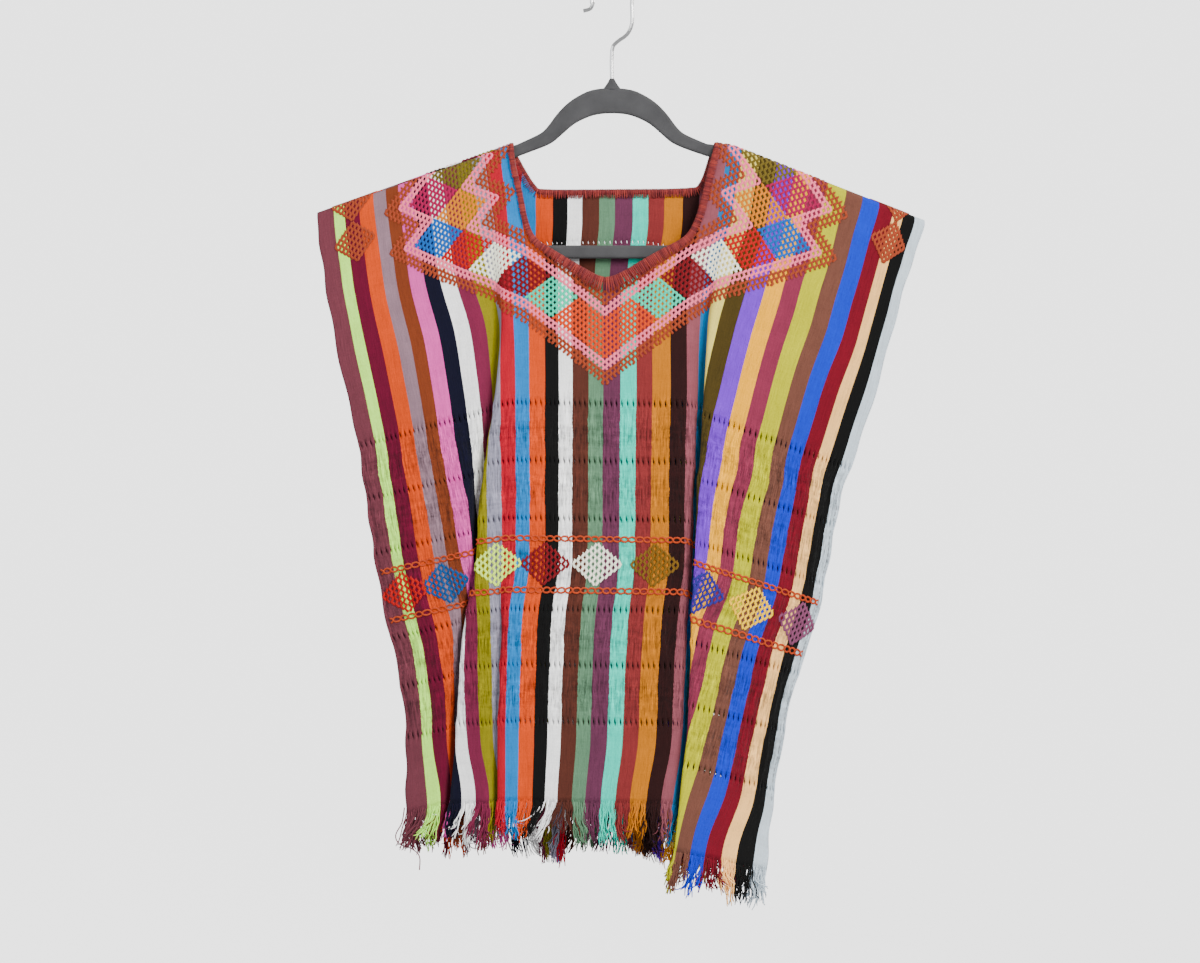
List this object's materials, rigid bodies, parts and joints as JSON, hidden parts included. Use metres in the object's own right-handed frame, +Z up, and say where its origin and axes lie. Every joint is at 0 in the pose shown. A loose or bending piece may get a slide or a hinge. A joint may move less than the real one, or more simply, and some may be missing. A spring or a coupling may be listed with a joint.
{
  "type": "huipil blouse on a hanger",
  "caption": "Sleeveless striped cotton huipil with an embroidered V-neck yoke and fringed hem, hanging from the wire hook of a slim flocked hanger.",
  "frame": {"origin": "inside top of the hanger's hook, where a rail or wall hook carries it", "axes": "+X towards the right as seen from the front, +Y from the front towards the back, +Z up"},
  "size_m": [0.4868, 0.0701, 0.7469],
  "materials": {
    "cloth": "matt hand-woven striped cotton",
    "fringe": "loose twisted cotton threads",
    "binding": "stitched cotton thread",
    "flock": "short dark grey flock",
    "chrome": "bright"
  },
  "bodies": {
    "root": {"front_panel": "cloth", "back_panel": "cloth", "front_fringe": "fringe", "back_fringe": "fringe", "neck_binding": "binding", "hanger_frame": "flock", "hanger_collar": "flock", "hanger_hook": "chrome"}
  },
  "joints": []
}
